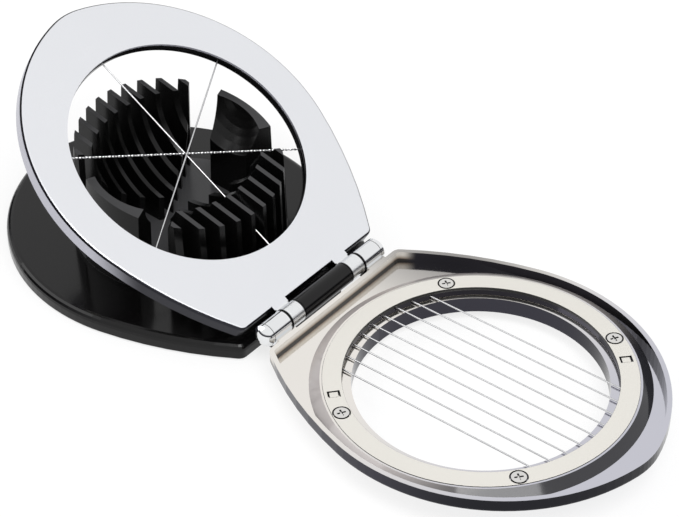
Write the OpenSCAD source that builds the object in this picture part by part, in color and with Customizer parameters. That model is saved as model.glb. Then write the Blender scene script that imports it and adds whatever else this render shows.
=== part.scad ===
// Egg slicer: base with a finned egg cradle and two wire lids on one hinge pin.
// Millimetres. Origin on the table under the hinge pin, +Z up, the cradle towards -X.
// Both lids are drawn closed, pointing to -X, and are then turned up about the hinge.

/* [Lids] */
// Width across the lids
lid_w = 106.4; // [104:0.4:110]
// Radius of each long side
side_r = 60.7; // [59:0.1:64]
// Radius of the rounded tip
tip_r = 25; // [18:1:30]
// Radius of the sides where they run in to the hinge
tail_r = 130; // [110:5:180]
// Thickness of each lid
lid_t = 4.6; // [4.2:0.1:5]
// Radius of the corners beside the hinge
corner_r = 3; // [2.6:0.2:4]
// Rounding along the outer edges
edge_r = 1; // [0.6:0.1:1.2]
// Thickness of a lid's face
skin = 1.1; // [1:0.05:1.2]
// Thickness of a lid's side wall
wall = 1.5; // [1.2:0.1:1.8]
// Air left between neighbouring moving faces
gap = 0.3; // [0.2:0.05:0.4]

/* [Openings and wires] */
// Height of the collar round the slicing opening
collar_h = 4.35; // [4:0.05:5]
// Hole in the wedge lid
wedge_hole_d = 80.6; // [80:0.2:82]
// Hole in the slicing lid
slice_hole_d = 78.4; // [77:0.2:79.4]
// Outside diameter of the wire rings
ring_d = 96; // [95:0.5:97]
// Inside diameter of the wire rings
ring_in_d = 84; // [83:0.5:85]
// Thickness of the wire rings
ring_t = 1.2; // [1.1:0.05:1.4]
// Wire thickness
wire_d = 0.8; // [0.5:0.1:0.9]
// Slicing wires
wires = 9; // [7:2:11]
// Distance from one slicing wire to the next
pitch = 5.55; // [5:0.05:6]
// Diameter of the small screw heads
head_d = 4.6; // [4:0.2:4.8]

/* [Hinge] */
// Hinge axis to the centre of the openings
reach = 62.3; // [62:0.1:66]
// Hinge axis above the table
axis_h = 10.7; // [10.4:0.1:11]
// Hinge barrel diameter
barrel_d = 7.4; // [7:0.1:7.6]
// Hinge pin diameter
pin_d = 3.2; // [2.4:0.1:3.6]
// Radial clearance on the hinge pin
pin_fit = 0.05; // [0.03:0.01:0.1]
// Length of the base's knuckle
base_knuckle = 23; // [20:0.5:25]
// Length of each wedge lid knuckle
wedge_knuckle = 6.3; // [5:0.1:7]
// Length of each slicing lid knuckle
slice_knuckle = 8.2; // [6:0.1:9]
// Wedge lid as drawn, degrees up from closed
wedge_open = 27.8; // [0:0.1:65]
// Slicing lid as drawn, degrees up from closed
slice_open = 176.9; // [70:0.1:180]

/* [Cradle] */
// Outside diameter of the cradle at its foot
cradle_d = 70.8; // [69:0.2:72]
// Outside diameter of the cradle at its rim
cradle_top_d = 66.4; // [65:0.2:68]
// Cradle's middle from the openings' middle, towards the hinge
cradle_x = 2.4; // [1.6:0.1:3]
// Height of the cradle's rim above the hinge axis, at its middle
rim_h = 26.2; // [25:0.1:27]
// Slope of the rim, rise per mm towards the tip
rim_slope = 0.2; // [0.1:0.01:0.22]
// Widest bore of the egg bowl
egg_d = 49.4; // [47:0.2:50]
// Length of the egg bowl, along the hinge
egg_len = 62.8; // [60:0.2:63.4]
// Height of the egg bowl's axis above the hinge axis
egg_z = 29.5; // [28:0.1:30.5]
// Fin thickness
fin_t = 1.6; // [1.1:0.1:2]
// Distance from one fin to the next
fin_pitch = 5.65; // [5.5:0.05:5.7]
// Gap left for the wedge wires
wedge_gap = 3.2; // [2.4:0.1:4]

/* [Base] */
// Thickness of the deck
deck_t = 1.6; // [1.4:0.1:1.8]
// Height of the rubber feet below the base
foot_h = 0.7; // [0.5:0.1:1]
// Rounding along the upper edge
base_edge = 2.2; // [1:0.1:2.4]
// Diameter of the rubber feet
foot_d = 10; // [8:0.5:12]

/* [Hidden] */
$fn = 96;
clear = gap / 2;
end_gap = barrel_d / 2 + 1.5;      // hinge axis to the straight end of a plate
side_off = side_r - lid_w / 2;     // the side arcs' centres lie off the middle line
arc_x = -0.6;
tail_a = 14.3;                     // where the side arc hands over to the flatter one
tip_run = sqrt(pow(side_r - tip_r, 2) - pow(side_off, 2));
tip_x = arc_x - tip_run;
tip_a = asin(side_off / (side_r - tip_r));
tail_x = arc_x + (side_r - tail_r) * sin(tail_a);
tail_y = side_off - (side_r - tail_r) * cos(tail_a);
end_x = reach - end_gap;
corner_y = sqrt(pow(tail_r - corner_r, 2) - pow(end_x - corner_r - tail_x, 2)) - tail_y;
corner_a = atan2(corner_y + tail_y, end_x - corner_r - tail_x);
slice_r = slice_hole_d / 2;
wedge_r = wedge_hole_d / 2;
ring_r = ring_d / 2;
ring_in_r = ring_in_d / 2;
screw_ring = (ring_r + ring_in_r) / 2;
head_r = head_d / 2;
shank_r = 0.9;
barrel_r = barrel_d / 2;
pin_r = pin_d / 2;
// levels above the hinge axis with the lids closed
wedge_top = -clear;
wedge_low = wedge_top - lid_t;
slice_low = clear;
slice_top = slice_low + lid_t;
sink = 1.3;                        // ring face below a lid's rim
slice_ring = slice_low + sink;
wedge_ring = wedge_top - 2.3;      // back of the wedge ring
collar_top = slice_top + collar_h;
deck = wedge_low - gap;            // top of the base's deck
base_low = foot_h - axis_h;
boss_foot = ring_r + 4;
cradle_r = cradle_d / 2;
plinth_t = 1.2;
dome_h = 2;                        // rise of a pin cap's domed end
y1 = base_knuckle / 2;
y2 = y1 + 0.2 + wedge_knuckle;
y3 = y2 + 0.2 + slice_knuckle;
slice_screws = [40, 120, 220, 300];
wire_slots = [133, 311];
wedge_screws = [30, 150, 210, 330];
wedge_dirs = [0, 60, 120];
base_screws = [75, 98, -75, -98];
screw_r = 29;
feet = [[-43, 15], [-43, -15], [49, 25.5], [49, -25.5]];
wires_in = (wires - 1) / 2 * pitch + wire_d / 2 + 0.35;   // half the room the wires take up

// ---- shared shapes ----

module on_hinge(turn) {
    translate([0, 0, axis_h]) rotate([0, turn, 0]) translate([-reach, 0, 0]) children();
}

// n steps of an arc about c, drawn in by i
function arc(c, r, a0, a1, n, i) = [for (k = [0:n - 1]) let (a = a0 + (a1 - a0) * k / n)
    [c[0] + (r - i) * cos(a), c[1] + (r - i) * sin(a)]];

// One long side, from the hinge's corner to the tip: corner, tail, side and tip arcs. Each
// arc takes over where the last one points the same way, so the edge has no kinks.
function long_side(i) = concat(
    arc([end_x - corner_r, corner_y], corner_r, 0, corner_a, 4, i),
    arc([tail_x, -tail_y], tail_r, corner_a, 90 - tail_a, 6, i),
    arc([arc_x, -side_off], side_r, 90 - tail_a, 180 - tip_a, 32, i),
    arc([tip_x, 0], tip_r, 180 - tip_a, 180, 3, i));

function rim(i) = let (side = long_side(i)) concat(side, [[tip_x - tip_r + i, 0]],
    [for (k = [len(side) - 1:-1:0]) [side[k][0], -side[k][1]]]);

// plan of a plate, drawn in by i all round
module outline(i) {
    polygon(rim(i));
}

// plate of height h whose upper edge is rounded by f
module plate(h, f) {
    n = len(rim(0));
    levels = concat([[0, 0]], [for (a = [0:22.5:90]) [f * (1 - cos(a)), h - f + f * sin(a)]]);
    polyhedron(
        points = [for (v = levels) for (p = rim(v[0])) [p[0], p[1], v[1]]],
        faces = concat(
            [[for (k = [0:n - 1]) k]],
            [[for (k = [n - 1:-1:0]) (len(levels) - 1) * n + k]],
            [for (j = [0:len(levels) - 2]) for (k = [0:n - 1])
                [j * n + k, (j + 1) * n + k, (j + 1) * n + (k + 1) % n, j * n + (k + 1) % n]]));
}

module tube(r_out, r_in, h) {
    linear_extrude(h) difference() {
        circle(r = r_out);
        circle(r = r_in);
    }
}

module at_ring(angles, r) {
    for (a = angles) rotate([0, 0, a]) translate([r, 0, 0]) children();
}

// knuckle from y0 to y1 on the hinge axis
module barrel(y0, y1, bore) {
    translate([reach, y0, 0]) rotate([-90, 0, 0]) difference() {
        cylinder(r = barrel_r, h = y1 - y0);
        translate([0, 0, -1]) cylinder(r = bore, h = y1 - y0 + 2);
    }
}

// arm from a plate's end to a knuckle, in the plate's own thickness
module arm(y0, y1, z0, z1, bore) {
    difference() {
        translate([end_x - 1, y0, z0]) cube([end_gap + 1, y1 - y0, z1 - z0]);
        translate([reach, y0 - 1, 0]) rotate([-90, 0, 0]) cylinder(r = bore, h = y1 - y0 + 2);
    }
}

module mirror_y() {
    children();
    mirror([0, 1, 0]) children();
}

// small screw, head up at z = 0, with a cross recess
module screw(len) {
    difference() {
        union() {
            translate([0, 0, -0.8]) cylinder(r = head_r, h = 0.8, $fn = 32);
            translate([0, 0, -len]) cylinder(r = shank_r, h = len, $fn = 24);
        }
        for (a = [0, 90]) rotate([0, 0, a])
            translate([-head_d * 0.3, -0.3, -0.45]) cube([head_d * 0.6, 0.6, 1]);
    }
}

// ---- base ----

module base_plate() {
    color([0.05, 0.05, 0.055]) on_hinge(0) {
        difference() {
            union() {
                difference() {
                    translate([0, 0, base_low]) plate(deck - base_low, base_edge);
                    translate([0, 0, base_low - 1])
                        linear_extrude(deck - base_low - deck_t + 1) outline(2.2);
                }
                // round rib under the cradle
                translate([cradle_x, 0, base_low + 0.8])
                    tube(cradle_r + 1, cradle_r - 1, deck - base_low - 1.2);
                // bosses for the feet and the cradle's screws
                for (p = feet) translate([p[0], p[1], base_low + 0.6])
                    cylinder(r = foot_d / 2 + 1, h = deck - base_low - 1);
                at_ring(base_screws, screw_r)
                    translate([0, 0, base_low + 1.2]) cylinder(r = 3.6, h = deck - base_low - 1.6);
                // web that carries the middle knuckle
                translate([end_x - 2.5, -y1, base_low])
                    cube([end_gap + 1.6, base_knuckle, deck - base_low]);
                translate([end_x + gap, -y1, base_low])
                    cube([end_gap - gap - 0.9, base_knuckle, -base_low]);
                barrel(-y1, y1, pin_r);
            }
            translate([reach, -y1 - 1, 0]) rotate([-90, 0, 0])
                cylinder(r = pin_r, h = base_knuckle + 2);
            at_ring(base_screws, screw_r) {
                translate([0, 0, base_low]) cylinder(r = 1.3, h = 10, $fn = 24);
                translate([0, 0, base_low]) cylinder(r = head_r + 0.1, h = 2.1, $fn = 32);
            }
        }
    }
}

module rubber_feet() {
    color([0.09, 0.09, 0.09]) for (p = feet) translate([p[0] - reach, p[1], 0])
        cylinder(r = foot_d / 2, h = foot_h + 0.6);
}

module cradle_screws() {
    color([0.6, 0.6, 0.62]) on_hinge(0) at_ring(base_screws, screw_r)
        translate([0, 0, base_low + 1.3]) mirror([0, 0, 1]) screw(deck - base_low + 5.45);
}

// ---- cradle ----

// wedge of plan between two directions, from the cradle's middle
module sector(a0, a1) {
    polygon([[0, 0], [80 * cos(a0), 80 * sin(a0)],
        [80 * cos((a0 + a1) / 2), 80 * sin((a0 + a1) / 2)], [80 * cos(a1), 80 * sin(a1)]]);
}

// hollow for an egg lying along the hinge
module bowl() {
    translate([0, 0, egg_z]) rotate([90, 0, 0]) rotate_extrude()
        polygon(concat([[0, -egg_len / 2]],
            [for (a = [6:6:174]) [egg_d / 2 * sin(a), -egg_len / 2 * cos(a)]], [[0, egg_len / 2]]));
}

// everything inside the cradle's leaning sides and under its slanted rim
module cradle_block() {
    intersection() {
        translate([0, 0, deck]) cylinder(r1 = cradle_r, r2 = cradle_top_d / 2, h = 40);
        translate([0, 0, rim_h]) rotate([0, atan(rim_slope), 0])
            translate([-60, -60, -60]) cube([120, 120, 60]);
    }
}

// strips in the direction of the slicing wires, in two groups
module fin_strips() {
    intersection() {
        union() {
            sector(-54, 54);
            sector(126, 234);
        }
        for (k = [0:4]) for (s = [-1, 1])
            translate([-50, s * (k + 0.5) * fin_pitch - fin_t / 2]) square([100, fin_t]);
    }
}

// the room that stays clear of the slanting wires on their arcs
module fin_room() {
    w = wedge_gap / 2 / sin(60);
    translate([reach - cradle_x, 0, 0]) rotate([90, 0, 0]) rotate_extrude() {
        polygon([[0, (w - reach) * tan(60)], [reach - w, 0], [0, (reach - w) * tan(60)]]);
        polygon([[reach + w, 0], [reach + w + 60, -60 * tan(60)], [reach + w + 60, 60 * tan(60)]]);
    }
}

module egg_cradle() {
    plinth = deck + plinth_t;
    color([0.06, 0.06, 0.065]) on_hinge(0) difference() {
        translate([cradle_x, 0, 0]) {
            translate([0, 0, deck]) cylinder(r = cradle_r, h = plinth_t);
            difference() {
                intersection() {
                    translate([0, 0, plinth - 0.5]) linear_extrude(60) fin_strips();
                    cradle_block();
                    fin_room();
                }
                bowl();
            }
            difference() {
                intersection() {
                    translate([0, 0, plinth - 0.5]) linear_extrude(60) mirror_y() sector(69.5, 107.5);
                    cradle_block();
                }
                bowl();
                translate([-50, -wires_in, deck]) cube([100, 2 * wires_in, 60]);
            }
        }
        at_ring(base_screws, screw_r)
            translate([0, 0, deck - 1]) cylinder(r = shank_r, h = 8, $fn = 24);
    }
}

// ---- hinge ----

module hinge_pin() {
    color([0.75, 0.76, 0.78]) translate([0, -y3 - 1.6, axis_h]) rotate([-90, 0, 0])
        cylinder(r = pin_r, h = 2 * y3 + 3.2);
}

module pin_caps() {
    dome_r = (pow(barrel_r, 2) + pow(dome_h, 2)) / (2 * dome_h);
    color([0.75, 0.76, 0.78]) mirror_y() translate([0, y3 + 0.2, axis_h])
        rotate([-90, 0, 0]) difference() {
            intersection() {
                cylinder(r = barrel_r, h = 1.2 + dome_h);
                translate([0, 0, 1.2 + dome_h - dome_r]) sphere(r = dome_r);
            }
            translate([0, 0, -1]) cylinder(r = pin_r, h = 2.4);
        }
}

// ---- wedge lid ----

module wedge_lid() {
    color([0.86, 0.87, 0.89]) on_hinge(wedge_open) difference() {
        union() {
            difference() {
                translate([0, 0, wedge_low]) plate(lid_t, edge_r);
                translate([0, 0, wedge_low - 1]) linear_extrude(lid_t - skin + 1) outline(wall);
            }
            // seat of the wire ring
            translate([0, 0, wedge_ring]) tube(boss_foot - 2, ring_in_r + 0.2, wedge_top - 0.5 - wedge_ring);
            mirror_y() {
                arm(y1 + 0.2, y2, wedge_low, wedge_top, pin_r);
                barrel(y1 + 0.2, y2, pin_r);
            }
        }
        translate([0, 0, wedge_low - 1]) cylinder(r = wedge_r, h = lid_t + 2);
        translate([reach, -50, 0]) rotate([-90, 0, 0]) cylinder(r = pin_r + pin_fit, h = 100);
        at_ring(wedge_screws, screw_ring)
            translate([0, 0, wedge_ring - 1]) cylinder(r = shank_r, h = 2, $fn = 24);
    }
}

module wire_ring(slots, screws) {
    difference() {
        tube(ring_r, ring_in_r, ring_t);
        at_ring(screws, screw_ring) {
            translate([0, 0, -1]) cylinder(r = shank_r + 0.1, h = 4, $fn = 24);
            translate([0, 0, -1]) cylinder(r = head_r + 0.1, h = 1.8, $fn = 32);
        }
        for (a = slots) rotate([0, 0, a])
            translate([screw_ring - 1.75, -1.1, -1]) cube([3.5, 2.2, 4]);
    }
}

module wedge_wire_ring() {
    color([0.86, 0.85, 0.82]) on_hinge(wedge_open) difference() {
        translate([0, 0, wedge_ring - ring_t]) wire_ring([], wedge_screws);
        for (a = wedge_dirs) rotate([0, 0, a])
            translate([-ring_in_r - 2.4, -wire_d / 2, wedge_ring - wire_d])
                cube([2 * ring_in_r + 4.8, wire_d, 2]);
    }
}

module wedge_ring_screws() {
    color([0.8, 0.8, 0.82]) on_hinge(wedge_open) at_ring(wedge_screws, screw_ring)
        translate([0, 0, wedge_ring - ring_t]) mirror([0, 0, 1]) screw(2.2);
}

module wedge_wire(n) {
    color([0.8, 0.8, 0.82]) on_hinge(wedge_open) rotate([0, 0, wedge_dirs[n - 1]])
        translate([-ring_in_r - 2.4, 0, wedge_ring - wire_d / 2]) rotate([0, 90, 0])
            cylinder(r = wire_d / 2, h = 2 * ring_in_r + 4.8, $fn = 16);
}

// ---- slicing lid ----

module slicing_lid() {
    color([0.8, 0.81, 0.83]) on_hinge(slice_open) difference() {
        union() {
            difference() {
                translate([0, 0, slice_low]) plate(lid_t, edge_r);
                translate([0, 0, slice_low - 1]) linear_extrude(lid_t - skin + 1) outline(wall);
            }
            // raised seat of the wire ring, with a sloping side
            intersection() {
                translate([0, 0, slice_low]) rotate_extrude() polygon([
                    [0, lid_t - 0.5], [0, sink + 0.2], [ring_r + 0.7, sink + 0.2],
                    [boss_foot, lid_t - skin], [boss_foot, lid_t - 0.5]]);
                translate([0, 0, slice_low]) linear_extrude(lid_t) outline(wall / 2);
            }
            // collar round the opening
            translate([0, 0, slice_top - 0.5]) cylinder(r = slice_r + 1.5, h = collar_top - slice_top + 0.5);
            mirror_y() {
                arm(y2 + 0.2, y3, slice_low, slice_top, pin_r);
                barrel(y2 + 0.2, y3, pin_r);
            }
        }
        translate([0, 0, slice_low - 1]) cylinder(r = slice_r, h = 20);
        translate([0, 0, slice_low - 1]) cylinder(r = ring_in_r + 0.2, h = lid_t - skin + 1);
        translate([0, 0, slice_low - 1]) cylinder(r = ring_r + 0.05, h = sink + ring_t + 1);
        translate([reach, -50, 0]) rotate([-90, 0, 0]) cylinder(r = pin_r + pin_fit, h = 100);
        at_ring(slice_screws, screw_ring)
            translate([0, 0, slice_low]) cylinder(r = shank_r, h = 4.1, $fn = 24);
    }
}

module slicing_wire_ring() {
    color([0.9, 0.88, 0.85]) on_hinge(slice_open) difference() {
        translate([0, 0, slice_ring]) wire_ring(wire_slots, slice_screws);
        for (k = [1:wires]) wire_slot(k);
    }
}

function wire_y(k) = (k - (wires + 1) / 2) * pitch;
function wire_half(k) = sqrt(pow(ring_in_r, 2) - pow(wire_y(k), 2)) + 2.2;

module wire_slot(k) {
    translate([-wire_half(k), wire_y(k) - wire_d / 2, slice_ring - 1])
        cube([2 * wire_half(k), wire_d, ring_t + 2]);
}

module slicing_ring_screws() {
    color([0.8, 0.8, 0.82]) on_hinge(slice_open) at_ring(slice_screws, screw_ring)
        translate([0, 0, slice_ring]) mirror([0, 0, 1]) screw(2.6);
}

module wire_anchors() {
    color([0.85, 0.84, 0.8]) on_hinge(slice_open) at_ring(wire_slots, screw_ring)
        translate([-1.3, -1.1, slice_ring + 0.3]) cube([2.6, 2.2, ring_t - 0.3]);
}

module slicing_wire(k) {
    color([0.8, 0.8, 0.82]) on_hinge(slice_open)
        translate([-wire_half(k), wire_y(k), slice_ring + ring_t / 2 - 0.2]) rotate([0, 90, 0])
            cylinder(r = wire_d / 2, h = 2 * wire_half(k), $fn = 16);
}

base_plate();
egg_cradle();
cradle_screws();
rubber_feet();
hinge_pin();
pin_caps();
wedge_lid();
wedge_wire_ring();
wedge_ring_screws();
wedge_wire(1);  // wedge_wire_1
wedge_wire(2);  // wedge_wire_2
wedge_wire(3);  // wedge_wire_3
slicing_lid();
slicing_wire_ring();
slicing_ring_screws();
wire_anchors();
slicing_wire(1);  // slicing_wire_1
slicing_wire(2);  // slicing_wire_2
slicing_wire(3);  // slicing_wire_3
slicing_wire(4);  // slicing_wire_4
slicing_wire(5);  // slicing_wire_5
slicing_wire(6);  // slicing_wire_6
slicing_wire(7);  // slicing_wire_7
slicing_wire(8);  // slicing_wire_8
slicing_wire(9);  // slicing_wire_9
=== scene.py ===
import math

import bmesh
import bpy
from mathutils import Matrix, Vector


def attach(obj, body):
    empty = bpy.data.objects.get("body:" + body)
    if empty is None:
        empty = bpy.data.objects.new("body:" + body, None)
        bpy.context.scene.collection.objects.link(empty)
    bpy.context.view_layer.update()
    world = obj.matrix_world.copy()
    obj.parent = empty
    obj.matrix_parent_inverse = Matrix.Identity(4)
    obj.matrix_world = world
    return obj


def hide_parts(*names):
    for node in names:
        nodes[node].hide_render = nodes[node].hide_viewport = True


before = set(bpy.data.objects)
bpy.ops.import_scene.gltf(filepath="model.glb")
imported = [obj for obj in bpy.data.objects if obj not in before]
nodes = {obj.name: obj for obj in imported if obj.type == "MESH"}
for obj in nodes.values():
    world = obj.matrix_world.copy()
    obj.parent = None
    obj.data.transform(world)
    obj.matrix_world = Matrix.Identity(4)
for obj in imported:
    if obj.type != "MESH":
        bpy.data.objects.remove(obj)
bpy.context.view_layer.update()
scene = bpy.context.scene

# the hinge's height, its distance from a lid's middle, and how far each lid stands open
hinge = {"height": 0.0107, "reach": 0.0623, "wedgeOpen": 27.8, "sliceOpen": 176.9}

camera = {
    "focalPx": 2098.2,
    "imageSize": (679, 517),
    "azimuth": 37.986,
    "elevation": 40.153,
    "roll": 1.707,
    "distance": 0.66385,
    "aimPx": (335.6, 258.8),       # where the lens axis meets the render
    "hingeAt": (-14.519, 32.475),  # hinge centre from there, in pixels right and down
    "sensorWidth": 36.0,
}


def placeCamera(c):
    az, el, roll = (math.radians(c[k]) for k in ("azimuth", "elevation", "roll"))
    ahead = Vector((-math.sin(az) * math.cos(el), math.cos(az) * math.cos(el), -math.sin(el)))
    right = Vector((math.cos(az), math.sin(az), 0.0))
    up = right.cross(ahead)
    right, up = (math.cos(roll) * right + math.sin(roll) * up,
                 -math.sin(roll) * right + math.cos(roll) * up)
    offset = [v * c["distance"] / c["focalPx"] for v in c["hingeAt"]]
    spot = Vector((0, 0, hinge["height"])) - right * offset[0] + up * offset[1] - ahead * c["distance"]
    data = bpy.data.cameras.new("camera")
    wide, high = c["imageSize"]
    data.sensor_width = c["sensorWidth"]
    data.lens = c["sensorWidth"] * c["focalPx"] / wide
    data.shift_x = (wide / 2 - c["aimPx"][0]) / wide
    data.shift_y = (c["aimPx"][1] - high / 2) / wide
    data.clip_start = 0.01
    data.clip_end = 20
    eye = bpy.data.objects.new("camera", data)
    rows = Matrix((right, up, -ahead)).transposed()
    eye.matrix_world = Matrix.Translation(spot) @ rows.to_4x4()
    scene.collection.objects.link(eye)
    scene.camera = eye


placeCamera(camera)
print("camera placed")


def newMaterial(name):
    mat = bpy.data.materials.new(name)
    mat.use_nodes = True
    tree = mat.node_tree
    return mat, tree, tree.nodes["Principled BSDF"]


def addNode(tree, kind, **values):
    node = tree.nodes.new(kind)
    for key, value in values.items():
        if key in node.inputs:
            node.inputs[key].default_value = value
        else:
            setattr(node, key, value)
    return node


def mathNode(tree, how, a, b=None):
    node = tree.nodes.new("ShaderNodeMath")
    node.operation = how
    for i, v in enumerate((a, b)):
        if v is None:
            continue
        if isinstance(v, (int, float)):
            node.inputs[i].default_value = v
        else:
            tree.links.new(v, node.inputs[i])
    return node.outputs[0]


def times(tree, a, b):
    return mathNode(tree, "MULTIPLY", a, b)


def rest(tree, share):
    return mathNode(tree, "SUBTRACT", 1.0, share)


def rampNode(tree, source, stops):
    node = tree.nodes.new("ShaderNodeValToRGB")
    ramp = node.color_ramp
    while len(ramp.elements) < len(stops):
        ramp.elements.new(0.5)
    for element, (at, shade) in zip(ramp.elements, stops):
        element.position = at
        element.color = (*shade, 1)
    tree.links.new(source, node.inputs[0])
    return node.outputs[0]


leastRoughness = 0.02
bumpDepth = 0.0002


def makeSurfaceGroup():
    # fine grain and handling marks, shared by all the hard materials
    tree = bpy.data.node_groups.new("surfaceDetail", "ShaderNodeTree")
    face = tree.interface
    for name, kind, value in (
            ("Grain Scale", "NodeSocketFloat", 900.0), ("Grain", "NodeSocketFloat", 0.1),
            ("Mark Scale", "NodeSocketFloat", 30.0), ("Marks", "NodeSocketFloat", 0.1),
            ("Roughness", "NodeSocketFloat", 0.3), ("Color", "NodeSocketColor", (0.5, 0.5, 0.5, 1)),
            ("Color Shift", "NodeSocketFloat", 0.05), ("Stretch", "NodeSocketVector", (1, 1, 1))):
        face.new_socket(name, in_out="INPUT", socket_type=kind).default_value = value
    for name, kind in (("Color", "NodeSocketColor"), ("Roughness", "NodeSocketFloat"),
                       ("Height", "NodeSocketFloat")):
        face.new_socket(name, in_out="OUTPUT", socket_type=kind)
    start = tree.nodes.new("NodeGroupInput")
    end = tree.nodes.new("NodeGroupOutput")
    place = tree.nodes.new("ShaderNodeTexCoord")
    stretch = addNode(tree, "ShaderNodeVectorMath", operation="MULTIPLY")
    tree.links.new(place.outputs["Object"], stretch.inputs[0])
    tree.links.new(start.outputs["Stretch"], stretch.inputs[1])
    grain = addNode(tree, "ShaderNodeTexNoise", Detail=4.0, Roughness=0.6)
    tree.links.new(stretch.outputs[0], grain.inputs["Vector"])
    tree.links.new(start.outputs["Grain Scale"], grain.inputs["Scale"])
    marks = addNode(tree, "ShaderNodeTexNoise", Detail=6.0, Roughness=0.65, Distortion=0.4)
    tree.links.new(place.outputs["Object"], marks.inputs["Vector"])
    tree.links.new(start.outputs["Mark Scale"], marks.inputs["Scale"])
    centred = mathNode(tree, "SUBTRACT", marks.outputs["Fac"], 0.5)
    wobble = times(tree, centred, start.outputs["Marks"])
    grainOut = times(tree, mathNode(tree, "SUBTRACT", grain.outputs["Fac"], 0.5), start.outputs["Grain"])
    rough = mathNode(tree, "ADD", start.outputs["Roughness"], mathNode(tree, "ADD", wobble, grainOut))
    rough = mathNode(tree, "MAXIMUM", rough, leastRoughness)
    shift = mathNode(tree, "ADD", 1.0, times(tree, centred, start.outputs["Color Shift"]))
    tint = addNode(tree, "ShaderNodeVectorMath", operation="SCALE")
    tree.links.new(start.outputs["Color"], tint.inputs[0])
    tree.links.new(shift, tint.inputs["Scale"])
    tree.links.new(tint.outputs[0], end.inputs["Color"])
    tree.links.new(rough, end.inputs["Roughness"])
    tree.links.new(grainOut, end.inputs["Height"])
    return tree


surfaceDetail = makeSurfaceGroup()


def makeTurnGroup():
    # how squarely a face lies to a plate's own plane: 0 on its walls, 1 on its flats
    tree = bpy.data.node_groups.new("plateTurn", "ShaderNodeTree")
    axis = tree.interface.new_socket("Axis", in_out="INPUT", socket_type="NodeSocketVector")
    axis.default_value = (0, 0, 1)
    for name in ("Turn", "Along X", "Along Y", "Along Z", "From Hinge"):
        tree.interface.new_socket(name, in_out="OUTPUT", socket_type="NodeSocketFloat")
    start = tree.nodes.new("NodeGroupInput")
    end = tree.nodes.new("NodeGroupOutput")
    place = tree.nodes.new("ShaderNodeTexCoord")
    dot = addNode(tree, "ShaderNodeVectorMath", operation="DOT_PRODUCT")
    tree.links.new(place.outputs["Normal"], dot.inputs[0])
    tree.links.new(start.outputs["Axis"], dot.inputs[1])
    tree.links.new(mathNode(tree, "ABSOLUTE", dot.outputs["Value"]), end.inputs["Turn"])
    split = tree.nodes.new("ShaderNodeSeparateXYZ")
    tree.links.new(place.outputs["Object"], split.inputs[0])
    for name in "XYZ":
        tree.links.new(split.outputs[name], end.inputs["Along " + name])
    lift = mathNode(tree, "SUBTRACT", split.outputs["Z"], hinge["height"])
    squares = mathNode(tree, "ADD", times(tree, split.outputs["X"], split.outputs["X"]),
                       times(tree, lift, lift))
    tree.links.new(mathNode(tree, "SQRT", squares), end.inputs["From Hinge"])
    return tree


plateTurn = makeTurnGroup()


def spanNode(tree, source, low, high):
    node = addNode(tree, "ShaderNodeMapRange", interpolation_type="SMOOTHSTEP")
    tree.links.new(source, node.inputs["Value"])
    node.inputs["From Min"].default_value = low
    node.inputs["From Max"].default_value = high
    return node.outputs["Result"]


def mixShades(tree, share, a, b):
    node = addNode(tree, "ShaderNodeMix", data_type="RGBA")
    colors = [i for i in node.inputs if i.type == "RGBA"]
    tree.links.new(share, node.inputs[0])
    for socket, v in zip(colors, (a, b)):
        if isinstance(v, tuple):
            socket.default_value = (*v, 1)
        else:
            tree.links.new(v, socket)
    return [o for o in node.outputs if o.type == "RGBA"][0]


def dress(tree, shader, finish, color=None):
    # puts the shared detail in front of a material's own shader
    group = tree.nodes.new("ShaderNodeGroup")
    group.node_tree = surfaceDetail
    for socket, key in (("Grain Scale", "grainScale"), ("Grain", "grain"), ("Mark Scale", "markScale"),
                        ("Marks", "marks"), ("Roughness", "roughness"), ("Color Shift", "colorShift"),
                        ("Stretch", "stretch")):
        if key in finish:
            group.inputs[socket].default_value = finish[key]
    if color is None:
        group.inputs["Color"].default_value = (*finish["color"], 1)
    else:
        tree.links.new(color, group.inputs["Color"])
    tree.links.new(group.outputs["Color"], shader.inputs["Base Color"])
    tree.links.new(group.outputs["Roughness"], shader.inputs["Roughness"])
    bump = addNode(tree, "ShaderNodeBump", Strength=finish["bump"], Distance=bumpDepth)
    tree.links.new(group.outputs["Height"], bump.inputs["Height"])
    tree.links.new(bump.outputs["Normal"], shader.inputs["Normal"])
    shader.inputs["Metallic"].default_value = finish.get("metallic", 0.0)
    if "specular" in finish:
        shader.inputs["Specular IOR Level"].default_value = finish["specular"]


def plainFinish(name, finish):
    mat, tree, shader = newMaterial(name)
    dress(tree, shader, finish)
    return mat


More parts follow.
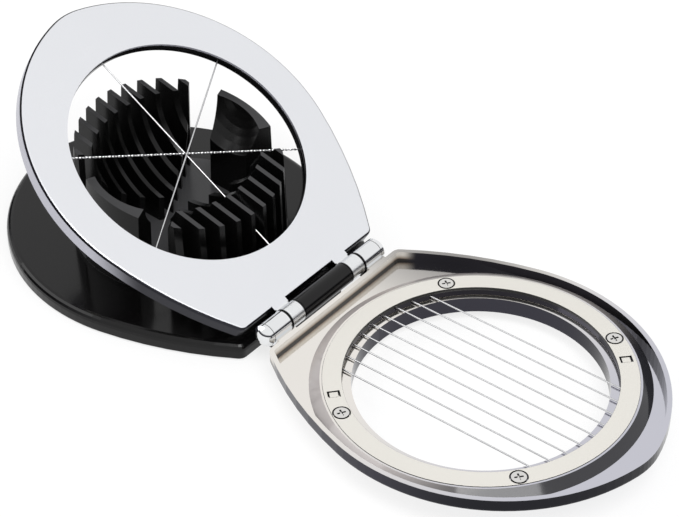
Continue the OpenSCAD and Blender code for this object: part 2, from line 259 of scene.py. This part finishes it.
finishes = {
    "baseBlack": {"color": (0.003, 0.0028, 0.003), "roughness": 0.13, "specular": 0.28,
                  "grain": 0.04, "grainScale": 1500, "marks": 0.05, "markScale": 25,
                  "colorShift": 0.3, "bump": 0.05},
    "cradleBlack": {"color": (0.003, 0.003, 0.003), "roughness": 0.24, "specular": 0.22,
                    "grain": 0.10, "grainScale": 2500, "marks": 0.08, "markScale": 40,
                    "colorShift": 0.3, "bump": 0.15},
    "wedgeMetal": {"color": (0.80, 0.82, 0.85), "roughness": 0.26, "grain": 0.06, "grainScale": 2200,
                   "marks": 0.05, "markScale": 18, "colorShift": 0.03, "bump": 0.06, "metallic": 1.0},
    "brightMetal": {"color": (0.80, 0.81, 0.82), "roughness": 0.09, "grain": 0.04, "grainScale": 1800,
                    "marks": 0.04, "markScale": 22, "colorShift": 0.03, "bump": 0.04, "metallic": 1.0},
    "creamMetal": {"color": (0.72, 0.70, 0.65), "roughness": 0.38, "grain": 0.10, "grainScale": 2600,
                   "marks": 0.08, "markScale": 35, "colorShift": 0.04, "bump": 0.10, "metallic": 0.6},
    "screwMetal": {"color": (0.78, 0.77, 0.75), "roughness": 0.22, "grain": 0.08, "grainScale": 3000,
                   "marks": 0.06, "markScale": 300, "colorShift": 0.1, "bump": 0.1, "metallic": 1.0},
    "wireMetal": {"color": (0.60, 0.60, 0.61), "roughness": 0.25, "grain": 0.15, "grainScale": 2000,
                  "stretch": (0.2, 1, 1), "marks": 0.1, "markScale": 150, "colorShift": 0.2, "bump": 0.1,
                  "metallic": 1.0},
    # near-black lining of the wedge lid's opening: painted shade
    "lipPaintedShade": {"color": (0.010, 0.010, 0.011), "roughness": 0.12, "grain": 0.05, "grainScale": 2000,
                "marks": 0.05, "markScale": 60, "colorShift": 0.2, "bump": 0.05, "metallic": 0.6},
    "footRubber": {"color": (0.02, 0.02, 0.02), "roughness": 0.75, "grain": 0.2, "grainScale": 1800,
                   "marks": 0.1, "markScale": 60, "colorShift": 0.3, "bump": 0.3},
}

# colours by how squarely a face lies to its lid's plane, 0 on walls and 1 on flats;
# paleSpan, slopeFrom, slopeTo and flatSpan are measured so, the other spans and heights in metres
lidPaintedReflections = {
    # the wedge lid: pale grey square walls, black bevels and bright flats, with walls darker along part of
    # the lid, all painted reflection
    "wedge": {"open": hinge["wedgeOpen"],
              "stops": [(0.0, (0.40, 0.40, 0.45)), (0.30, (0.40, 0.40, 0.45)), (0.46, (0.01, 0.01, 0.012)),
                        (0.86, (0.01, 0.01, 0.012)), (0.95, (0.77, 0.78, 0.81))],
              "mattWalls": 0.85, "paleSpan": (0.30, 0.42),
              "wallFade": (-0.050, -0.032), "paintedWallReflection": (0.035, 0.035, 0.042)},
    # the slicing lid: dark walls, grey slopes and bright flats, all painted reflection; its floor is cream
    # of its own, with painted reflection in its gradient
    "slicing": {"open": hinge["sliceOpen"],
                "stops": [(0.0, (0.045, 0.044, 0.055)), (0.35, (0.035, 0.033, 0.040)),
                          (0.76, (0.05, 0.048, 0.055)), (0.83, (0.42, 0.39, 0.38)),
                          (0.89, (0.40, 0.37, 0.36)), (0.95, (0.80, 0.80, 0.80))],
                "slopeSpan": (0.060, 0.095), "paintedSlopeReflection": (0.02, 0.02, 0.024), "mattSlope": 0.9,
                "slopeFrom": (0.78, 0.83), "slopeTo": (0.89, 0.94),
                "endWallSpan": (0.008, 0.012), "endWallStops": [
                    (0.0, (0.02, 0.018, 0.016)), (0.36, (0.02, 0.017, 0.015)), (0.44, (0.24, 0.19, 0.15)),
                    (0.62, (0.52, 0.47, 0.41)), (0.80, (0.70, 0.67, 0.62))],
                "endWallHeight": (0.0068, 0.0106), "mattEndWall": 0.8,
                "hingeTint": (0.80, 0.77, 0.73), "tipPaintedReflection": (0.55, 0.55, 0.61), "floorReflectionSpan": (0.03, 0.11),
                "farPaintedReflection": (0.30, 0.29, 0.28), "farSpan": (0.0, 0.045), "hingeSpan": (0.02, 0.07)},
}
flatSpan = (0.85, 0.97)

# knuckles: polished metal colour, and a dark groove of painted shade where two meet
knuckles = {"span": (0.0040, 0.0044), "meetAt": (0.0116, 0.0181), "grooveShade": (0.0003, 0.0007),
            "dark": (0.01, 0.01, 0.01), "bright": (0.78, 0.79, 0.80)}


def plateAxis(turn):
    a = math.radians(turn)
    return (math.sin(a), 0.0, math.cos(a))


def lidFinish(name, finish, shades):
    mat, tree, shader = newMaterial(name)
    turn = tree.nodes.new("ShaderNodeGroup")
    turn.node_tree = plateTurn
    turn.inputs["Axis"].default_value = plateAxis(shades["open"])
    facing, alongX = turn.outputs["Turn"], turn.outputs["Along X"]
    color = rampNode(tree, facing, shades["stops"])
    flat = spanNode(tree, facing, *flatSpan)
    matt = None
    # painted reflection: walls darker along part of the lid, and pale square walls made less metallic
    if "wallFade" in shades:
        fade = spanNode(tree, alongX, *shades["wallFade"])
        color = mixShades(tree, times(tree, fade, rest(tree, flat)), color, shades["paintedWallReflection"])
        pale = times(tree, rest(tree, spanNode(tree, facing, *shades["paleSpan"])), rest(tree, fade))
        matt = times(tree, pale, shades["mattWalls"])
    if "slopeSpan" in shades:
        # painted reflection: the seat's sloping side goes from grey at the hinge to black at the tip
        slope = times(tree, spanNode(tree, alongX, *shades["slopeSpan"]), rest(tree, flat))
        color = mixShades(tree, slope, color, shades["paintedSlopeReflection"])
        sloping = times(tree, spanNode(tree, facing, *shades["slopeFrom"]),
                        rest(tree, spanNode(tree, facing, *shades["slopeTo"])))
        matt = times(tree, sloping, shades["mattSlope"])
        # the wall at the hinge end is pale as painted reflection, and dark only along its foot as painted
        # shade
        height = tree.nodes.new("ShaderNodeMapRange")
        tree.links.new(turn.outputs["Along Z"], height.inputs["Value"])
        for end, value in zip(("From Min", "From Max"), shades["endWallHeight"]):
            height.inputs[end].default_value = value
        endColor = rampNode(tree, height.outputs["Result"], shades["endWallStops"])
        endWall = times(tree, rest(tree, flat), rest(tree, spanNode(tree, alongX, *shades["endWallSpan"])))
        color = mixShades(tree, endWall, color, endColor)
        matt = mathNode(tree, "MAXIMUM", matt, times(tree, endWall, shades["mattEndWall"]))
        # the floor goes from its own cream to a cooler grey, and is darkest in the far corner by the hinge;
        # the grey and the dark corner are painted reflection
        tint = mixShades(tree, spanNode(tree, alongX, *shades["floorReflectionSpan"]),
                         shades["hingeTint"], shades["tipPaintedReflection"])
        far = times(tree, spanNode(tree, turn.outputs["Along Y"], *shades["farSpan"]),
                    rest(tree, spanNode(tree, alongX, *shades["hingeSpan"])))
        color = mixShades(tree, flat, color, mixShades(tree, far, tint, shades["farPaintedReflection"]))
    if matt is not None:
        # knuckles are plain polished metal, with painted shade as a dark groove where two of them meet
        knuckle = rest(tree, spanNode(tree, turn.outputs["From Hinge"], *knuckles["span"]))
        side = mathNode(tree, "ABSOLUTE", turn.outputs["Along Y"])
        offs = [mathNode(tree, "ABSOLUTE", mathNode(tree, "SUBTRACT", side, y))
                for y in knuckles["meetAt"]]
        grooveShade = spanNode(tree, mathNode(tree, "MINIMUM", *offs), *knuckles["grooveShade"])
        polished = mixShades(tree, grooveShade, knuckles["dark"], knuckles["bright"])
        color = mixShades(tree, knuckle, color, polished)
        matt = times(tree, matt, rest(tree, knuckle))
    dress(tree, shader, finish, color)
    if matt is not None:
        tree.links.new(mathNode(tree, "SUBTRACT", finish["metallic"], matt), shader.inputs["Metallic"])
    return mat


# small flat pieces whose edges and recesses are darker than their faces, as painted shade; the cradle's
# flats are a little lighter, as a painted highlight
paintedShadeAndHighlight = {
    "creamMetal": {"open": hinge["sliceOpen"],
                   "stops": [(0.0, (0.02, 0.02, 0.02)), (0.72, (0.03, 0.03, 0.03)),
                             (0.93, (0.72, 0.70, 0.65))]},
    "screwMetal": {"open": hinge["sliceOpen"],
                   "stops": [(0.0, (0.01, 0.01, 0.01)), (0.88, (0.015, 0.015, 0.015)),
                             (0.99, (0.70, 0.69, 0.67))]},
    "cradleBlack": {"open": 0.0, "stops": [(0.0, (0.003, 0.003, 0.003)), (0.93, (0.004, 0.004, 0.004)),
                                           (1.0, (0.05, 0.05, 0.052))]},
}
plainOnes = ("baseBlack", "brightMetal", "creamMetal", "screwMetal", "wireMetal", "lipPaintedShade", "footRubber")
materials = {name: plainFinish(name, finishes[name]) for name in plainOnes}
for name, shades in paintedShadeAndHighlight.items():
    materials[name + "Edged"] = lidFinish(name + "Edged", finishes[name], shades)
materials["wedgeMetal"] = lidFinish("wedgeMetal", finishes["wedgeMetal"], lidPaintedReflections["wedge"])
materials["slicingMetal"] = lidFinish("slicingMetal", finishes["brightMetal"], lidPaintedReflections["slicing"])

# bands along the twisted wire: painted highlight and shade
twistGlints = {"pitch": 0.0011, "angle": 60, "stops": [(0.30, (0.22, 0.22, 0.23)), (0.62, (0.92, 0.92, 0.93))]}


def twistedFinish(name, finish, t):
    # painted highlight and shade: light and dark bands by turns along the wire, for the glints on its
    # twisted strands
    mat, tree, shader = newMaterial(name)
    a, lift = math.radians(t["angle"]), math.radians(hinge["wedgeOpen"])
    place = tree.nodes.new("ShaderNodeTexCoord")
    dot = addNode(tree, "ShaderNodeVectorMath", operation="DOT_PRODUCT")
    tree.links.new(place.outputs["Object"], dot.inputs[0])
    dot.inputs[1].default_value = (math.cos(a) * math.cos(lift), math.sin(a), -math.cos(a) * math.sin(lift))
    swing = mathNode(tree, "SINE", times(tree, dot.outputs["Value"], 2 * math.pi / t["pitch"]))
    color = rampNode(tree, times(tree, mathNode(tree, "ADD", swing, 1.0), 0.5), t["stops"])
    dress(tree, shader, finish, color)
    return mat


materials["twistedWire"] = twistedFinish("twistedWire", finishes["wireMetal"], twistGlints)

nodeFinish = {
    "base_plate": "baseBlack", "egg_cradle": "cradleBlackEdged", "cradle_screws": "screwMetal",
    "rubber_feet": "footRubber", "hinge_pin": "screwMetal", "pin_caps": "brightMetal",
    "wedge_lid": "wedgeMetal", "wedge_wire_ring": "creamMetal", "wedge_ring_screws": "screwMetal",
    "slicing_lid": "slicingMetal", "slicing_wire_ring": "creamMetal",
    "slicing_ring_screws": "screwMetalEdged", "wire_anchors": "creamMetalEdged",
}
for name, obj in nodes.items():
    mat = materials[nodeFinish.get(name, "wireMetal")]
    obj.data.materials.clear()
    obj.data.materials.append(mat)
print("finishes on", len(nodes), "pieces")

ring = {
    "outer": 0.048, "inner": 0.042, "thick": 0.0012, "edge": 0.00012, "back": 0.00145,
    "screwAngles": (40, 120, 220, 300), "slotAngles": (133, 311), "holesAt": 0.045, "headHole": 0.0029,
    "slotLong": 0.0041, "slotWide": 0.0031, "steps": 128,
}
wires = {
    "count": 9, "pitch": 0.00555, "radius": 0.00027, "height": 0.00305, "reachIn": 0.0007,
    "wedgeAngles": (0, 60, 120), "wedgeHeight": -0.00285, "wedgeHalf": 0.0444, "twistPitch": 0.0032,
    "strand": 0.00018, "twisted": 1, "twistSteps": 520, "straightSteps": 16, "layer": 0.00056,
}


def onHinge(turn):
    return (Matrix.Translation((0, 0, hinge["height"])) @ Matrix.Rotation(math.radians(turn), 4, "Y")
            @ Matrix.Translation((-hinge["reach"], 0, 0)))


def circlePoints(radius, at=(0, 0), steps=32):
    return [(at[0] + radius * math.cos(2 * math.pi * i / steps),
             at[1] + radius * math.sin(2 * math.pi * i / steps)) for i in range(steps)]


def toMesh(obj):
    # turns a finished curve into a plain mesh piece
    depsgraph = bpy.context.evaluated_depsgraph_get()
    mesh = bpy.data.meshes.new_from_object(obj.evaluated_get(depsgraph))
    piece = bpy.data.objects.new(obj.name + "Piece", mesh)
    scene.collection.objects.link(piece)
    curve = obj.data
    name = obj.name
    bpy.data.objects.remove(obj)
    bpy.data.curves.remove(curve)
    piece.name = name
    return piece


def makeRing(r, place):
    curve = bpy.data.curves.new("flatWireRing", "CURVE")
    curve.dimensions = "2D"
    curve.fill_mode = "BOTH"
    curve.extrude = r["thick"] / 2 - r["edge"]
    curve.bevel_depth = r["edge"]
    curve.bevel_resolution = 2
    outlines = [circlePoints(r["outer"] - r["edge"], steps=r["steps"]),
                circlePoints(r["inner"] + r["edge"], steps=r["steps"])]
    for a in r["screwAngles"]:
        a = math.radians(a)
        middle = (r["holesAt"] * math.cos(a), r["holesAt"] * math.sin(a))
        outlines.append(circlePoints(r["headHole"], middle))
    for a in r["slotAngles"]:
        turn = Matrix.Rotation(math.radians(a), 2)
        long, wide = r["slotLong"] / 2, r["slotWide"] / 2
        corners = ((-long, -wide), (long, -wide), (long, wide), (-long, wide))
        outlines.append([tuple(turn @ Vector((r["holesAt"] + x, y))) for x, y in corners])
    for outline in outlines:
        spline = curve.splines.new("POLY")
        spline.points.add(len(outline) - 1)
        for point, (x, y) in zip(spline.points, outline):
            point.co = (x, y, 0, 1)
        spline.use_cyclic_u = True
    obj = bpy.data.objects.new("flatWireRing", curve)
    scene.collection.objects.link(obj)
    piece = toMesh(obj)
    piece.data.transform(place @ Matrix.Translation((0, 0, r["back"] + r["thick"] / 2)))
    return piece


def alongWire(half, steps):
    return [half * (2 * i / steps - 1) for i in range(steps + 1)]


def twistedLine(half, high, side):
    # one of the two strands that wind round each other
    steps, reach = wires["twistSteps"], wires["strand"]
    turns = 2 * half / wires["twistPitch"] * 2 * math.pi
    angles = [turns * i / steps + side for i in range(steps + 1)]
    return [(x, reach * math.cos(a), high + reach * math.sin(a))
            for x, a in zip(alongWire(half, steps), angles)]


def makeWire(name, lines, radius, place):
    curve = bpy.data.curves.new(name, "CURVE")
    curve.dimensions = "3D"
    curve.bevel_resolution = 3
    curve.use_fill_caps = True
    curve.bevel_depth = radius
    for points in lines:
        spline = curve.splines.new("POLY")
        spline.points.add(len(points) - 1)
        for point, co in zip(spline.points, points):
            point.co = (*co, 1)
    obj = bpy.data.objects.new(name, curve)
    scene.collection.objects.link(obj)
    piece = toMesh(obj)
    piece.data.transform(place)
    for face in piece.data.polygons:
        face.use_smooth = True
    return piece


def finishPiece(piece, mat, body, slotName, *stoodFor):
    piece.data.materials.clear()
    piece.data.materials.append(mat)
    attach(piece, body)
    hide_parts(*stoodFor)


slicePlace = onHinge(hinge["sliceOpen"])
wedgePlace = onHinge(hinge["wedgeOpen"])
finishPiece(makeRing(ring, slicePlace), materials["creamMetalEdged"],
            "slicing_lid", "cream", "slicing_wire_ring")
for k in range(wires["count"]):
    y = (k - (wires["count"] - 1) / 2) * wires["pitch"]
    half = math.sqrt(ring["inner"] ** 2 - y * y) + wires["reachIn"]
    line = [(x, y, wires["height"]) for x in alongWire(half, wires["straightSteps"])]
    finishPiece(makeWire("sliceWire%d" % (k + 1), [line], wires["radius"], slicePlace),
                materials["wireMetal"], "slicing_lid", "wire", "slicing_wire_%d" % (k + 1))
for k, angle in enumerate(wires["wedgeAngles"]):
    turn = Matrix.Rotation(math.radians(angle), 4, "Z")
    half, high = wires["wedgeHalf"], wires["wedgeHeight"] + (k - 1) * wires["layer"]
    if k == wires["twisted"]:
        look, radius = materials["twistedWire"], wires["strand"]
        lines = [twistedLine(half, high, side) for side in (0, math.pi)]
    else:
        look, radius = materials["wireMetal"], wires["radius"]
        lines = [[(x, 0, high) for x in alongWire(half, wires["straightSteps"])]]
    finishPiece(makeWire("wedgeWire%d" % (k + 1), lines, radius, wedgePlace @ turn), look,
                "wedge_lid", "wire", "wedge_wire_%d" % (k + 1))
print("ring and wires made")

# turned-in edge of the wedge lid's opening, coloured dark as painted shade on the opening's inner wall:
# (radius, height) round its section
holeLip = {
    "section": [(0.0403, -0.0009), (0.0402, -0.0014), (0.0402, -0.0034), (0.0403, -0.0037),
                (0.0406, -0.0037), (0.0408, -0.0034), (0.0408, -0.0013), (0.0407, -0.0010)],
    "steps": 160,
}


def makeLip(lip, place):
    mesh = bpy.data.meshes.new("wedgeHoleLip")
    count, section = lip["steps"], lip["section"]
    points, faces = [], []
    for i in range(count):
        a = 2 * math.pi * i / count
        points += [(r * math.cos(a), r * math.sin(a), z) for r, z in section]
    size = len(section)
    for i in range(count):
        for j in range(size):
            a, b = i * size, (i + 1) % count * size
            k = (j + 1) % size
            faces.append((a + j, a + k, b + k, b + j))
    mesh.from_pydata(points, [], faces)
    mesh.transform(place)
    for face in mesh.polygons:
        face.use_smooth = True
    work = bmesh.new()
    work.from_mesh(mesh)
    bmesh.ops.recalc_face_normals(work, faces=work.faces)
    work.to_mesh(mesh)
    work.free()
    piece = bpy.data.objects.new("wedgeHoleLip", mesh)
    scene.collection.objects.link(piece)
    return piece


lipPiece = makeLip(holeLip, wedgePlace)
lipPiece.data.materials.append(materials["lipPaintedShade"])
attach(lipPiece, "wedge_lid")
print("hole lip made")

room = {
    "floorHalf": 3.0,
    "floorDrop": 0.00002,
    "floorShade": (0.93, 0.93, 0.93),
    "shadowShare": 0.25,
    "skyStrength": 0.9,
    "evenSky": (0.85, 0.85, 0.86),
}


def backdropRays(tree):
    rays = tree.nodes.new("ShaderNodeLightPath")
    seen = mathNode(tree, "MAXIMUM", rays.outputs["Is Camera Ray"], rays.outputs["Is Transmission Ray"])
    return mathNode(tree, "MAXIMUM", seen, rays.outputs["Is Glossy Ray"])


def makeFloor(r):
    half = r["floorHalf"]
    mesh = bpy.data.meshes.new("floor")
    corners = [(-half, -half, 0), (half, -half, 0), (half, half, 0), (-half, half, 0)]
    mesh.from_pydata(corners, [], [(0, 1, 2, 3)])
    floor = bpy.data.objects.new("floor", mesh)
    scene.collection.objects.link(floor)
    floor.location.z = -r["floorDrop"]
    mat, tree, shader = newMaterial("floorWhite")
    shader.inputs["Base Color"].default_value = (*r["floorShade"], 1)
    shader.inputs["Roughness"].default_value = 0.9
    shader.inputs["Specular IOR Level"].default_value = 0.1
    glow = addNode(tree, "ShaderNodeEmission", Color=(1, 1, 1, 1), Strength=1.0)
    share = times(tree, backdropRays(tree), 1 - r["shadowShare"])
    blend = tree.nodes.new("ShaderNodeMixShader")
    tree.links.new(share, blend.inputs[0])
    tree.links.new(shader.outputs[0], blend.inputs[1])
    tree.links.new(glow.outputs[0], blend.inputs[2])
    tree.links.new(blend.outputs[0], tree.nodes["Material Output"].inputs["Surface"])
    floor.data.materials.append(mat)


def makeSky(r):
    # matt surfaces get an even sky; the lens, metal and glass all see the white backdrop
    world = bpy.data.worlds.new("sky")
    scene.world = world
    world.use_nodes = True
    tree = world.node_tree
    tree.nodes.clear()
    light = addNode(tree, "ShaderNodeBackground", Color=(*r["evenSky"], 1), Strength=r["skyStrength"])
    plain = addNode(tree, "ShaderNodeBackground", Color=(1, 1, 1, 1), Strength=1.0)
    blend = tree.nodes.new("ShaderNodeMixShader")
    tree.links.new(backdropRays(tree), blend.inputs[0])
    tree.links.new(light.outputs[0], blend.inputs[1])
    tree.links.new(plain.outputs[0], blend.inputs[2])
    out = tree.nodes.new("ShaderNodeOutputWorld")
    tree.links.new(blend.outputs[0], out.inputs["Surface"])


# a low ring of dark studio card that gives polished metal its black bands
cardRing = {
    "radius": 2.2, "height": 0.72, "steps": 64,
    "shades": [(0.0, (0.05, 0.05, 0.055)), (0.30, (0.02, 0.02, 0.025)), (0.62, (0.09, 0.09, 0.10)),
               (1.0, (0.88, 0.88, 0.90))],
}


def makeCardRing(c):
    points = []
    for z in (0.0, c["height"]):
        points += [(x, y, z) for x, y in circlePoints(c["radius"], steps=c["steps"])]
    n = c["steps"]
    mesh = bpy.data.meshes.new("cardRing")
    mesh.from_pydata(points, [], [(i, (i + 1) % n, n + (i + 1) % n, n + i) for i in range(n)])
    card = bpy.data.objects.new("cardRing", mesh)
    scene.collection.objects.link(card)
    mat, tree, shader = newMaterial("cardDark")
    tree.nodes.remove(shader)
    place = tree.nodes.new("ShaderNodeTexCoord")
    split = tree.nodes.new("ShaderNodeSeparateXYZ")
    tree.links.new(place.outputs["Object"], split.inputs[0])
    shade = rampNode(tree, mathNode(tree, "DIVIDE", split.outputs["Z"], c["height"]), c["shades"])
    glow = addNode(tree, "ShaderNodeEmission", Strength=1.0)
    tree.links.new(shade, glow.inputs["Color"])
    tree.links.new(glow.outputs[0], tree.nodes["Material Output"].inputs["Surface"])
    mesh.materials.append(mat)
    card.visible_camera = False
    card.visible_diffuse = False
    card.visible_shadow = False


lamps = {
    "key": {"at": (0.5, -0.3, 1.2), "size": 0.7, "power": 9.0},
    "fill": {"at": (-0.9, -0.6, 0.8), "size": 0.9, "power": 4.0},
}
lampAim = (0, 0, 0.02)


def makeLamps(table):
    for name, lamp in table.items():
        data = bpy.data.lights.new(name, "AREA")
        data.size = lamp["size"]
        data.energy = lamp["power"]
        obj = bpy.data.objects.new(name, data)
        obj.location = lamp["at"]
        aim = Vector(lampAim) - obj.location
        obj.rotation_euler = aim.to_track_quat("-Z", "Y").to_euler()
        scene.collection.objects.link(obj)


makeFloor(room)
makeSky(room)
makeCardRing(cardRing)
makeLamps(lamps)
scene.view_settings.view_transform = "Standard"
print("room lit")
